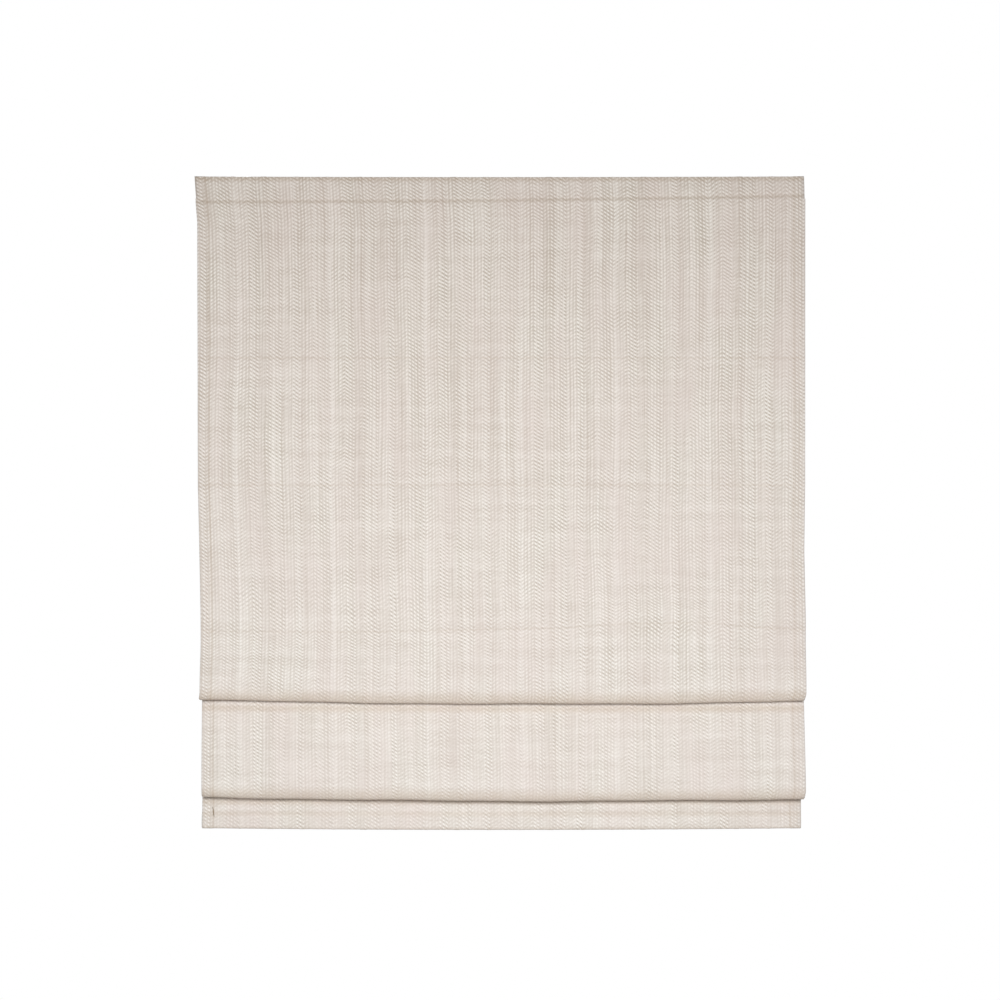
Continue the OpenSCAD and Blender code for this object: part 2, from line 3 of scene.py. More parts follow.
import bpy
import numpy as np
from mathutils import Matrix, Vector


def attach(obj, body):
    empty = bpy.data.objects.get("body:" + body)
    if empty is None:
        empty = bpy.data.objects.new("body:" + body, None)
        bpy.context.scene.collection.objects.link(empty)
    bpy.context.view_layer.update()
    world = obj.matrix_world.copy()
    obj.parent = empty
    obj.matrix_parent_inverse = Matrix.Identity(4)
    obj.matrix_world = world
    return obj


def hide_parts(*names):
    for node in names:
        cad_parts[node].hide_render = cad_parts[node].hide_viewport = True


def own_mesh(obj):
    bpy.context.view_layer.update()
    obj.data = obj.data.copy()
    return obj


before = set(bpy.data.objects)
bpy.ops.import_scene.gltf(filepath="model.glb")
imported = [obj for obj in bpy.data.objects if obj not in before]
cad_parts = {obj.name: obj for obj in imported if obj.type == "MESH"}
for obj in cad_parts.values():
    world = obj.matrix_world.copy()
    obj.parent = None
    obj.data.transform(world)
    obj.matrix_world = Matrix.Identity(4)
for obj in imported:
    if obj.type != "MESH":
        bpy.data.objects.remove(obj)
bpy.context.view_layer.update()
scene = bpy.context.scene
mm = 0.001
perMetre = 1000
print("frame loaded:", len(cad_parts), "nodes")


# Shader maths: a socket that takes part in Python expressions
class Wire:
    def __init__(self, tree, socket=None):
        self.tree = tree
        self.socket = socket

    def node(self, kind, settings=None, inputs=None, out=0):  # settings first, then the sockets
        made = self.tree.nodes.new("ShaderNode" + kind)
        for key, value in (settings or {}).items():
            if key == "stops":
                layStops(made.color_ramp, value)
            elif key == "ease":
                made.color_ramp.interpolation = value
            else:
                setattr(made, key, value)
        for key, value in (inputs or {}).items():
            if isinstance(value, Wire):
                self.tree.links.new(value.socket, made.inputs[key])
            else:
                made.inputs[key].default_value = value
        return Wire(self.tree, made.outputs[out])

    def output(self, index):
        return Wire(self.tree, self.socket.node.outputs[index])

    def maths(self, operation, *values):
        return self.node("Math", {"operation": operation}, dict(enumerate(values)))

    def __add__(self, other):
        return self.maths("ADD", self, other)

    def __radd__(self, other):
        return self.maths("ADD", other, self)

    def __sub__(self, other):
        return self.maths("SUBTRACT", self, other)

    def __rsub__(self, other):
        return self.maths("SUBTRACT", other, self)

    def __mul__(self, other):
        return self.maths("MULTIPLY", self, other)

    def __truediv__(self, other):
        return self.maths("DIVIDE", self, other)

    def __abs__(self):
        return self.maths("ABSOLUTE", self)


def layStops(ramp, stops):
    while len(ramp.elements) > 1:
        ramp.elements.remove(ramp.elements[-1])
    for i, (place, value) in enumerate(stops):
        stop = ramp.elements[0] if i == 0 else ramp.elements.new(place)
        stop.position = place
        stop.color = (value, value, value, 1)


def levels(red, green, blue):  # screen levels to a linear colour
    def linear(v):
        v /= 255
        return v / 12.92 if v <= 0.04045 else ((v + 0.055) / 1.055) ** 2.4
    return (linear(red), linear(green), linear(blue), 1)


def newFinish(name, plain):
    finish = bpy.data.materials.new(name)
    finish.use_nodes = True
    shader = finish.node_tree.nodes["Principled BSDF"]
    for key, value in plain.items():
        shader.inputs[key].default_value = value
    return finish, Wire(finish.node_tree), shader


def feed(shader, **wires):
    names = {"color": "Base Color", "rough": "Roughness", "normal": "Normal"}
    for key, wire in wires.items():
        wire.tree.links.new(wire.socket, shader.inputs[names[key]])


def mixColors(w, share, first, second):
    return w.node("Mix", {"data_type": "RGBA"}, {0: share, 6: first, 7: second}, out=2)


def held(w, value):  # kept within 0..1
    return w.node("Clamp", None, {0: value})


def bump(w, strength, distance, height):
    return w.node("Bump", None, {"Strength": strength, "Distance": distance, "Height": height})


def stretched(w, x, y, z, detail):  # noise at wires or plain places
    place = w.node("CombineXYZ", None, {0: x, 1: y, 2: z})
    return w.node("TexNoise", None, {"Vector": place, "Scale": 1.0, "Detail": detail, "Roughness": 0.5})


def evenNoise(w, place, scale, detail):  # the same scale every way
    return stretched(w, place * scale, place.output(1) * scale, place.output(2) * scale, detail)


def solidPlace(w):  # object coordinates in metres
    return w.node("SeparateXYZ", None, {0: w.node("TexCoord", out=3)})


# Camera: straight on, from far enough that the sides hardly splay
view = {
    "distance": 5.0, "frameWidth": 1.4876, "middleZ": -0.4817, "faceY": -0.0226,
    "sensor": 36.0, "far": 60,
}
eye = bpy.data.cameras.new("eye")
eye.sensor_width = view["sensor"]
eye.lens = view["sensor"] * view["distance"] / view["frameWidth"]
eye.clip_end = view["far"]
eyeObject = bpy.data.objects.new("eye", eye)
eyeObject.location = (0, view["faceY"] - view["distance"], view["middleZ"])
eyeObject.rotation_euler = (math.radians(90), 0, 0)
scene.collection.objects.link(eyeObject)
scene.camera = eyeObject
print("camera placed")


# Cloth: millimetres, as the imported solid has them
cloth = {
    "half": 450.0, "thick": 1.0, "faceY": -22.1, "top": -0.5, "layer": 1.2, "header": 33.0, "split": -33.5,
    "ribs": [-270.5, -459.5, -672.5, -729.5, -883.5], "ribClear": 8.0,
    "lips": [-783.5, -928.5], "lipOut": 20.0, "lipRound": 7.0, "lipTall": 13.0, "lipFind": 0.9,
    "crestRound": 2.0, "foldOver": 10.0,
    "barFoot": -968.7, "barTop": -948.7, "hemRound": 2.3, "hemTop": -943.5, "hemBack": -946.9,
    "sideHem": 16.0, "pocketHem": 1.4, "pocketTaper": 8.0, "hemLayer": 1.15, "hemSwell": 0.3,
    "hemMarks": (-4, -1, 1.5), "foldGap": 0.02,
    "stripeRepeat": 140.0, "stripeStart": 27.0, "stripes": [(0, 5), (46, 9), (94, 7)],
    "stripeRise": 0.25, "stripeBlend": 0.5, "repeats": range(-5, 6),
    # fineness: rows by their distance from a sewn line, and steps along each bend
    "columnStep": 13.0, "rowStep": 11.0, "closeRows": [(7, 1.2), (24, 3.5)], "endRow": 0.05,
    "headerSteps": 7, "turnSteps": 8, "leanSteps": 16, "lipSteps": 24, "backSteps": 6, "footSteps": 10,
    "pocketSteps": 5, "hemSteps": 3, "edgeSteps": 5,
    # swell beside a line of stitches: [height, where it starts, how far it reaches]
    "sewnSwell": (1.1, 2.2, 13.0), "headerSwell": (2.2, 3.2, 26.0), "overHeader": 0.8,
    "ribSwells": [1, 1, 0.8], "seamZ": -33.8, "seamTilt": 4.5, "seamBow": 2.3,
    "topLean": 1.7, "topLeanFrom": -7.0, "frontFrom": -3.0,
    # waves: [length, times the phase, height]
    "billow": 0.54, "billowBase": 0.8, "billowWaves": [(74, 1, 1.0), (41, 2.1, 0.6)],
    "lipReach": [34, 30], "lipPhase": [0.4, 2.0],
    "lipOutWaves": [(97, 1, 0.9), (39, 3, 0.5)], "lipDownWaves": [(61, 2, 0.5), (23, 1, 0.3)],
    "barSwell": 0.7, "barBlend": 3.5, "footClear": 1.0, "footBlend": 8.0,
    "pucker": 0.35, "puckerLong": 9.0, "puckerX": 320.0, "puckerReach": 90.0, "creaseReach": 42.0,
}
flatRibs = cloth["ribs"][:3]  # the sewn lines that show; the other two ribs hold the folds


def arcRows(y, z, r, start, end, steps):
    angles = np.radians(np.linspace(start, end, steps + 1))
    return [(y + r * math.cos(a), z + r * math.sin(a)) for a in angles]


def downRows(zStart, zEnd, marks):  # rows close together near a sewn line
    rows, z = [zStart], zStart
    while z > zEnd:
        near = min([abs(z - m) for m in marks] + [cloth["half"]])
        z -= next((step for reach, step in cloth["closeRows"] if near < reach), cloth["rowStep"])
        rows.append(max(z, zEnd))
    return [(cloth["faceY"], z) for z in rows]


def foldRows(start, lip, rib):  # out to the lip, round below it and back up over its rib
    c = cloth
    turn = lip + c["thick"] / 2 + c["lipTall"]
    lean = []
    for t in np.linspace(0, 1, c["leanSteps"] + 1)[1:]:
        ease = t * t * (3 - 2 * t)
        lean.append((c["faceY"] - c["lipOut"] * ease, start + (turn - start) * t))
    middle = c["faceY"] - c["lipOut"] + c["lipRound"]
    tall = c["lipTall"] / c["lipRound"]
    bend = arcRows(middle, turn, c["lipRound"], 180, 360, c["lipSteps"])[1:]
    under = [(y, turn + (z - turn) * tall) for y, z in bend]
    crest = rib + c["ribClear"]
    fromY, fromZ = under[-1]
    toY = c["faceY"] - 2 * c["crestRound"]
    back = [(fromY + (toY - fromY) * t, fromZ + (crest - fromZ) * t)
            for t in np.linspace(0, 1, c["backSteps"] + 1)[1:-1]]
    over = arcRows(c["faceY"] - c["crestRound"], crest, c["crestRound"], 180, 0, c["turnSteps"])
    return lean + under + back + over


def clothRows():  # the cloth's middle as [y, z], from the header's turned edge to the hem's
    c = cloth
    turnZ = c["top"] - c["thick"] / 2 - c["layer"] / 2
    turned = np.linspace(c["top"] - c["header"], turnZ, c["headerSteps"] + 1)
    rows = [(c["faceY"] + c["layer"], z) for z in turned]
    rows += arcRows(c["faceY"] + c["layer"] / 2, turnZ, c["layer"] / 2, 0, 180, c["turnSteps"])[1:]
    rows += downRows(turnZ, c["split"], [c["split"]])[1:]
    splitRow = len(rows) - 1
    ribs, clear = c["ribs"], c["ribClear"]
    rows += downRows(c["split"], ribs[2] - clear, [c["split"]] + ribs)[1:]
    rows += foldRows(ribs[2] - clear, c["lips"][0], ribs[3])
    rows += downRows(ribs[3] + clear, ribs[3] - clear, [])[1:]
    rows += foldRows(ribs[3] - clear, c["lips"][1], ribs[4])
    rows += downRows(ribs[4] + clear, c["hemTop"], [])[1:]
    hemRow = len(rows) - 1
    rows += downRows(c["hemTop"], c["barFoot"], [c["barTop"]])[1:]
    rows += arcRows(c["faceY"] + c["hemRound"], c["barFoot"], c["hemRound"], 180, 360, c["footSteps"])[1:]
    back = c["faceY"] + 2 * c["hemRound"]
    rows += [(back, z) for z in np.linspace(c["barFoot"], c["barTop"], c["pocketSteps"] + 1)[1:]]
    rows += [(c["faceY"] + c["layer"], c["hemBack"])]
    return np.array(rows), splitRow, hemRow


def lipRow(lip):  # the lowest row of a fold
    middle = cloth["faceY"] - cloth["lipOut"] + cloth["lipRound"]
    atMiddle = np.abs(rows[:, 0] - middle) < cloth["lipFind"]
    return int(np.argmin(np.where(atMiddle, np.abs(rows[:, 1] - lip), cloth["half"])))


def contactPlace(row):  # where the cloth comes down past a fold's lip again
    return rowS[next(i for i in range(row + 1, len(rows)) if rows[i, 1] <= rows[row, 1])]


rows, splitRow, hemRow = clothRows()
steps = np.linalg.norm(np.diff(rows, axis=0), axis=1)
rowS = np.concatenate([[0], np.cumsum(steps)])  # length along the cloth
ahead = np.gradient(rows, rowS, axis=0)
ahead /= np.linalg.norm(ahead, axis=1)[:, None]
behind = np.stack([-ahead[:, 1], ahead[:, 0]], axis=1)
splitS = rowS[splitRow]
footS = rowS[int(np.argmin(rows[:, 1]))]
lipRows = [lipRow(lip) for lip in cloth["lips"]]
lipS = [rowS[row] for row in lipRows]
contactS = [contactPlace(row) for row in lipRows]
print("cloth length", round(float(rowS[-1]), 1), "mm in", len(rows), "rows")


def faceS(z):  # place along the cloth of a height on its flat front
    return splitS + cloth["split"] - z


# How the hung cloth strays from the straight, in millimetres: strayZ has [place, left, middle, right]
topS = faceS(cloth["top"])
foldTopS = [s + rib - lip + cloth["foldOver"]
            for s, rib, lip in zip(lipS, cloth["ribs"][3:], cloth["lips"])]
strayZ = [
    (0, 0, 0, 0), (topS - cloth["header"] - 1, 0, 0, 0), (topS, 0.3, -0.6, 0.4), (splitS, 0, 0, 0),
    (faceS(-619), 0, 0, 0), (lipS[0], 5.6, -0.6, 3.4), (foldTopS[0], 0, 0, 0), (lipS[1], 6.2, 0.4, 3.2),
    (foldTopS[1], 0, 0, 0), (rowS[hemRow], 0, 0, 0), (footS, 1.4, -1.2, 1.4), (rowS[-1], 1.4, -1.2, 1.4),
]
edgeLeft = [
    (0, -453), (topS, -455.6), (faceS(-37), -452.9), (faceS(-69), -450.4), (faceS(-459), -449.5),
    (faceS(-569), -447.0), (faceS(-659), -445.4), (lipS[0] - 14, -445.2), (lipS[0] - 3, -446.6),
    (lipS[0] + 14, -441.4), (foldTopS[0], -441.8), (foldTopS[0] + 60, -443.1), (lipS[1], -442.4),
    (lipS[1] + 14, -441.6), (foldTopS[1], -441.8), (footS, -443.6),
]
edgeRight = [
    (0, 450), (topS, 453.4), (faceS(-37), 454.2), (faceS(-459), 454.0), (faceS(-559), 452.6),
    (faceS(-659), 455.0), (lipS[0] - 14, 454.2), (lipS[0], 451.6), (lipS[0] + 14, 449.2),
    (foldTopS[0], 449.4), (foldTopS[0] + 60, 451.8), (lipS[1] - 14, 453.4), (lipS[1], 451.0),
    (lipS[1] + 12, 448.0), (foldTopS[1], 447.4), (footS, 447.9),
]
creaseX = [-450, -225, -80, 80, 180, 300, 350, 450]  # the lowest sewn line wanders
creaseZ = [-6.0, -6.5, -2.6, 0.0, 6.5, 8.0, 2.0, -2.6]


def across(table, s, u):  # left, middle and right values, carried along the cloth and eased across it
    places = [row[0] for row in table]
    left, middle, right = (np.interp(s, places, [row[i] for row in table]) for i in (1, 2, 3))
    return middle + (right - left) / 2 * u + ((left + right) / 2 - middle) * u * u


def swell(size, away):  # the cloth stands proud on both sides of a line of stitches
    high, near, far = size
    return high * (1 - np.exp(-(away / near) ** 2)) * np.exp(-(away / far) ** 2)


def headerSwell(away):  # and more so below the header's line
    over = cloth["overHeader"] * swell(cloth["sewnSwell"], away)
    return np.where(away > 0, swell(cloth["headerSwell"], away), over)


def headerLine(u):  # height of the header's stitches
    return cloth["seamZ"] + cloth["seamTilt"] * u + cloth["seamBow"] * u * u


def ripple(waves, x, phase):
    return sum(high * np.sin(x / long + times * phase) for long, times, high in waves)


def clothAt(s, x, n):  # a point of the hung cloth: how far along it, across it and behind its middle
    c = cloth
    u = x / c["half"]
    y, z = np.interp(s, rowS, rows[:, 0]), np.interp(s, rowS, rows[:, 1])
    ny, nz = np.interp(s, rowS, behind[:, 0]), np.interp(s, rowS, behind[:, 1])
    front = np.where(s > faceS(c["frontFrom"]), 1.0, 0.0)
    depth = n - headerSwell(s - faceS(headerLine(u))) * front
    y = y + c["topLean"] * np.clip((z - c["topLeanFrom"]) / (c["top"] - c["topLeanFrom"]), 0, 1) ** 2
    for rib, share in zip(flatRibs, c["ribSwells"]):
        depth = depth - share * swell(c["sewnSwell"], s - faceS(rib))
    flat = [splitS] + [faceS(rib) for rib in flatRibs]
    for a, b in zip(flat, flat[1:]):  # soft billows between the ribs
        t = np.clip((s - a) / (b - a), 0, 1)
        wave = ripple(c["billowWaves"], x, a) + c["billowBase"]
        depth = depth - c["billow"] * np.sin(math.pi * t) ** 2 * wave
    for place, reach, phase in zip(lipS, c["lipReach"], c["lipPhase"]):  # lips hang unevenly
        near = np.exp(-((s - place) / reach) ** 2)
        y = y - near * ripple(c["lipOutWaves"], x, phase)
        z = z + near * ripple(c["lipDownWaves"], x, phase)
    # the bar swells its pocket, with puckers to the right
    barS = s - (footS - (c["barTop"] - c["barFoot"]))
    bar = np.clip(barS / c["barBlend"] + 0.5, 0, 1)
    bar = bar * np.clip((footS - c["footClear"] - s) / c["footBlend"], 0, 1)
    puckers = np.sin(x / c["puckerLong"]) * np.exp(-((x - c["puckerX"]) / c["puckerReach"]) ** 2)
    depth = depth - c["barSwell"] * bar * (1 + c["pucker"] * puckers)
    crease = np.exp(-((s - faceS(flatRibs[-1])) / c["creaseReach"]) ** 2)
    z = z + across(strayZ, s, u) + crease * np.interp(x, creaseX, creaseZ)
    left, right = (np.interp(s, *zip(*edge)) for edge in (edgeLeft, edgeRight))
    wide = left + (x + c["half"]) / (2 * c["half"]) * (right - left)
    return np.stack([wide, y + ny * depth, z + nz * depth], axis=-1) * mm


def stripePlaces():  # middle and width of each raised stripe
    c, found = cloth, []
    for repeat in c["repeats"]:
        for place, wide in c["stripes"]:
            x = c["stripeStart"] + repeat * c["stripeRepeat"] + place
            if abs(x) < c["half"] - c["sideHem"]:
                found.append((x, wide))
    return found


def faceColumns():  # places across the face, close together at the raised stripes
    c, blend = cloth, cloth["stripeBlend"]
    edge = c["half"] - c["thick"] / 2 - c["hemLayer"] / 2
    found = {-edge, edge}
    for side in (-1, 1):
        found.update(side * (c["half"] - c["sideHem"] + d) for d in c["hemMarks"])
    for x, wide in stripePlaces():
        found.update(x + side * (wide / 2 + d) for side in (-1, 1) for d in (-blend, blend))
    columns = sorted(found)
    for a, b in zip(columns[:-1], columns[1:]):
        extra = int((b - a) // c["columnStep"])
        found.update(a + (b - a) * (i + 1) / (extra + 1) for i in range(extra))
    return np.array(sorted(found))


def stripeRise(x):
    rise, blend = np.zeros_like(x), cloth["stripeBlend"]
    for middle, wide in stripePlaces():
        rise = np.maximum(rise, np.clip((wide / 2 + blend - np.abs(x - middle)) / (2 * blend), 0, 1))
    return rise * cloth["stripeRise"]


def clothSection(hemWide):  # outer and inner side across the width, with any side hems turned to the back
    c = cloth
    face, lift, half = faceColumns(), c["hemLayer"], c["thick"] / 2
    turnX, hemX = c["half"] - half - lift / 2, c["half"] - hemWide
    outer, inner, measure = [], [], []
    for t in np.linspace(0, 1, c["hemSteps"] + 1 if hemWide else 0)[:-1]:
        x = -hemX - t * (turnX - hemX)
        outer.append((x, lift + half))
        inner.append((x, lift - half))
        measure.append(-2 * turnX - x - lift * math.pi / 2)
    for angle in np.radians(np.linspace(90, 270, c["edgeSteps"] + 1 if hemWide else 0)[:-1]):
        for side, r in ((outer, lift / 2 + half), (inner, max(lift / 2 - half, c["foldGap"]))):
            side.append((-turnX + r * math.cos(angle), lift / 2 + r * math.sin(angle)))
        measure.append(-turnX - (math.radians(270) - angle) * lift / 2)
    mirrored = [[(-x, n) for x, n in reversed(side)] for side in (outer, inner)]
    ends = [-m for m in reversed(measure)]
    _, low, high = c["hemMarks"]
    proud = c["hemSwell"] * np.clip((np.abs(face) - (c["half"] - c["sideHem"]) - low) / (high - low), 0, 1)
    outer += list(zip(face, -half - proud - stripeRise(face)))
    inner += list(zip(face, half - proud))
    measure += list(face)
    return np.array(outer + mirrored[0]), np.array(inner + mirrored[1]), np.array(measure + ends)


def hemAt(s):  # narrower inside the bottom pocket, clear of the bar
    c = cloth
    pocketS = footS - (c["hemTop"] - c["barFoot"])
    return float(np.interp(s, [pocketS - c["pocketTaper"], pocketS], [c["sideHem"], c["pocketHem"]]))


def sweepCloth(places, hemmed):  # a closed sheet
    near = cloth["endRow"]  # a row close to each cut end keeps the shading flat up to it
    first, last = places[0], places[-1]
    places = np.concatenate([[first, first + near], places[1:-1], [last - near, last]])
    measure = clothSection(cloth["sideHem"] if hemmed else 0)[2]
    wide, rings = len(measure), []
    for s in places:
        outer, inner, _ = clothSection(hemAt(s) if hemmed else 0)
        for side in (outer, inner):
            rings.append(clothAt(np.full(wide, s), side[:, 0], side[:, 1]))
    faces, maps, smooth = [], [], []

    def addFace(soft, *corners):  # each corner: row, side, column
        faces.append(tuple((2 * i + side) * wide + k for i, side, k in corners))
        maps.extend((measure[k] * mm, places[i] * mm) for i, _, k in corners)
        smooth.append(soft)

    for i in range(len(places) - 1):
        for k in range(wide - 1):
            addFace(True, (i, 0, k), (i + 1, 0, k), (i + 1, 0, k + 1), (i, 0, k + 1))
            addFace(True, (i, 1, k + 1), (i + 1, 1, k + 1), (i + 1, 1, k), (i, 1, k))
        for k, a, b in ((0, 1, 0), (wide - 1, 0, 1)):
            addFace(False, (i, a, k), (i + 1, a, k), (i + 1, b, k), (i, b, k))
    for i, a, b in ((0, 0, 1), (len(places) - 1, 1, 0)):
        for k in range(wide - 1):
            addFace(False, (i, a, k), (i, a, k + 1), (i, b, k + 1), (i, b, k))
    return np.concatenate(rings), faces, maps, smooth


def ringFaces(i, count, flip=False):  # between ring i - 1 and ring i
    a, b, faces = (i - 1) * count, i * count, []
    for k in range(count):
        j = (k + 1) % count
        faces.append((a + k, b + k, b + j, a + j) if flip else (a + k, a + j, b + j, b + k))
    return faces


def onCloth(s, x, stand):  # one point, standing off the cloth's front
    return clothAt(np.array([s]), np.array([x]), np.array([-cloth["thick"] / 2 - stand]))[0]


# Stitches: short slim beads of thread, sunk half into the cloth
stitch = {
    "long": 3.0, "step": 4.3, "thick": 0.42, "stand": 0.1, "high": 0.45, "sunk": 0.6, "inHem": 2.5,
    "fromX": -446, "toX": 444, "splitRoom": 0.6, "twist": 900.0, "rough": 0.7, "roughTwist": 0.15,
    "dark": levels(196, 184, 171), "light": levels(216, 206, 195),
}
outward, upward = np.array([0, -1.0, 0]), np.array([0, 0, 1.0])


def stitchBead(a, b):  # two ends and a ring of four points between them
    thick = stitch["thick"] * mm
    middle = (a + b) / 2 + outward * thick * stitch["high"]
    ring = [middle + upward * thick / 2, middle + outward * thick * stitch["high"],
            middle - upward * thick / 2, middle - outward * thick * stitch["sunk"]]
    faces = []
    for i in range(len(ring)):
        j = (i + 1) % len(ring)
        faces += [(0, 2 + j, 2 + i), (1, 2 + i, 2 + j)]
    return [a, b] + ring, faces


def stitchLine(lineAt, xs):
    points, faces = [], []
    for x in xs:
        ends = [onCloth(lineAt(v), v, stitch["stand"]) for v in (x, x + stitch["long"])]
        verts, tris = stitchBead(*ends)
        faces += [tuple(len(points) + i for i in tri) for tri in tris]
        points += verts
    return points, faces


def newMesh(name, points, faces, finishes, kinds=None, maps=None, smooth=True):
    mesh = bpy.data.meshes.new(name)
    mesh.from_pydata([tuple(p) for p in points], [], faces)
    for finish in finishes:
        mesh.materials.append(finish)
    if kinds is not None:
        mesh.polygons.foreach_set("material_index", kinds)
    if maps is not None:
        layer = mesh.uv_layers.new(name="cloth")
        layer.data.foreach_set("uv", np.array(maps, float).ravel())
    mesh.polygons.foreach_set("use_smooth", smooth if isinstance(smooth, list) else [smooth] * len(faces))
    mesh.update()
    made = bpy.data.objects.new(name, mesh)
    scene.collection.objects.link(made)
    return made


def clothPiece(name, places, hemmed, sewn, finishes):  # sewn: threads on the cloth, and each one's finish
    points, faces, maps, smooth = sweepCloth(places, hemmed)
    points, kinds = list(points), [0] * len(faces)
    for (more, sides), kind in sewn:
        faces += [tuple(len(points) + i for i in side) for side in sides]
        maps += [(0, 0)] * sum(len(side) for side in sides)
        kinds += [kind] * len(sides)
        smooth += [True] * len(sides)
        points += more
    return newMesh(name, points, faces, finishes, kinds, maps, smooth)


# The weave: a zigzag twill whose runs climb and fall across the width, in yarns of slightly different tone
weave = {
    "dark": levels(196, 184, 172), "light": levels(248, 243, 238), "middle": 0.52,
    # the last colour on the next line is the brown of the painted shade at the folds and edges
    "rosy": levels(227, 211, 207), "rosyShare": 0.34, "foldShadeColour": levels(180, 155, 124),
    "pitch": 5.5, "slope": 0.64, "yarn": 4.9, "between": 0.12, "wander": 8, "slip": 6,
    "runs": [20, -14, 11, -24, 16, -10, 18.7, -26.3],
    "strength": [0.45, 1.0, 0.3, 0.85, 0.35, 1.1, 0.4, 0.75],
    "tones": [
        (0, 0.6), (0.02, 0.63), (0.045, 0.52), (0.14, 0.47), (0.165, 0.58), (0.19, 0.5), (0.3, 0.45),
        (0.36, 0.42), (0.4, 0.59), (0.43, 0.5), (0.55, 0.48), (0.64, 0.58), (0.7, 0.42), (0.78, 0.5),
        (0.83, 0.58), (0.88, 0.5), (0.95, 0.46), (0.985, 0.55), (1, 0.6)],
    # noises: [scale across, scale along, seed, detail]
    "noises": {
        "wander": (0.006, 0.004, 0.0, 1.0), "slip": (0.035, 0.02, 5.0, 1.0),
        "patch": (0.05, 0.03, 3.0, 2.0), "lines": (0.06, 0.004, 9.0, 1.0),
        "slub": (0.008, 0.075, 25.0, 2.0), "weft": (0.045, 0.42, 29.0, 1.0),
        "streak": (0.34, 0.0035, 7.0, 2.0), "fine": (0.95, 0.02, 11.0, 1.0),
        "speck": (0.33, 0.33, 15.0, 1.0), "blush": (0.02, 0.006, 21.0, 1.5)},
    # gains: [times, less]
    "gains": {"patch": (2.2, 0.3), "lines": (1.6, 0.3), "blush": (2.4, 0.75)},
    "shares": {
        "pattern": 0.8, "lines": 0.45, "streak": 0.65, "fine": 0.45,
        "slub": 0.42, "weft": 0.36, "speck": 0.36},
    # the last pair on the next line sets how strong the painted fold shade is and how much the streaks vary
    # it
    "paler": (1.38, 0.00066), "hemTone": 0.06, "hemEdgeShadeLine": (0.001, 0.0012, 0.16), "shadeStrength": (0.8, 1.2),
    "bump": (0.35, 0.0005), "fineRelief": 0.8, "rough": (0.86, 0.12),
    # painted shade, browned where shade falls at the folds, top edge, bar pocket and sewn lines: [place along
    # the cloth, reach, share]; the two below start past a seam and a hem's edge
    "shadeBands": [
        (lipS[0] - 5, 21, 0.38), (lipS[1] - 5, 20, 0.38), (lipS[0] + 7, 13, 0.35), (lipS[1] + 7, 13, 0.3),
        (contactS[0], 9, 0.3), (contactS[1], 8, 0.3), (faceS(-4), 6, 0.3), (footS - 2, 5, 0.24),
        (footS - 24, 7, 0.2)] + [(faceS(rib), 3, 0.1) for rib in flatRibs],
    "seamShade": (2.5, 4.5, 0.26), "hemEdgeShadeBand": (1, 2.5, 0.14),
}


def climbStops():  # height of the zigzag along one repeat, scaled into 0..1
    height, heights, places = 0.0, [0.0], [0.0]
    for run in weave["runs"]:
        height += run * weave["slope"]
        heights.append(height)
        places.append(places[-1] + abs(run) / cloth["stripeRepeat"])
    low, high = min(heights), max(heights)
    return [(min(p, 1.0), (h - low) / (high - low)) for p, h in zip(places, heights)], high - low


def strengthStops():
    place, stops = 0.0, []
    for run, strength in zip(weave["runs"], weave["strength"]):
        stops.append((place, strength))
        place += abs(run) / cloth["stripeRepeat"]
    return stops


def paintedFoldShade(w, v, u, inside):  # painted shade: browner above, under and below the folds' lips, at the top edge, on the bar pocket and a little at the sewn lines and hem edges
    shadeBands = [(v - place, reach, share) for place, reach, share in weave["shadeBands"]]
    below, reach, share = weave["seamShade"]
    seam = v - faceS(cloth["seamZ"] - below) + u * cloth["seamTilt"] + u * u * cloth["seamBow"]
    shadeBands.append((seam, reach, share))
    past, reach, share = weave["hemEdgeShadeBand"]
    shadeBands.append((inside * perMetre - past, reach, share))
    total = 0.0
    for away, reach, share in shadeBands:
        limits = {0: abs(away), 1: 0.0, 2: reach, 3: share, 4: 0.0}
        total = w.node("MapRange", {"interpolation_type": "SMOOTHSTEP"}, limits) + total
    return total


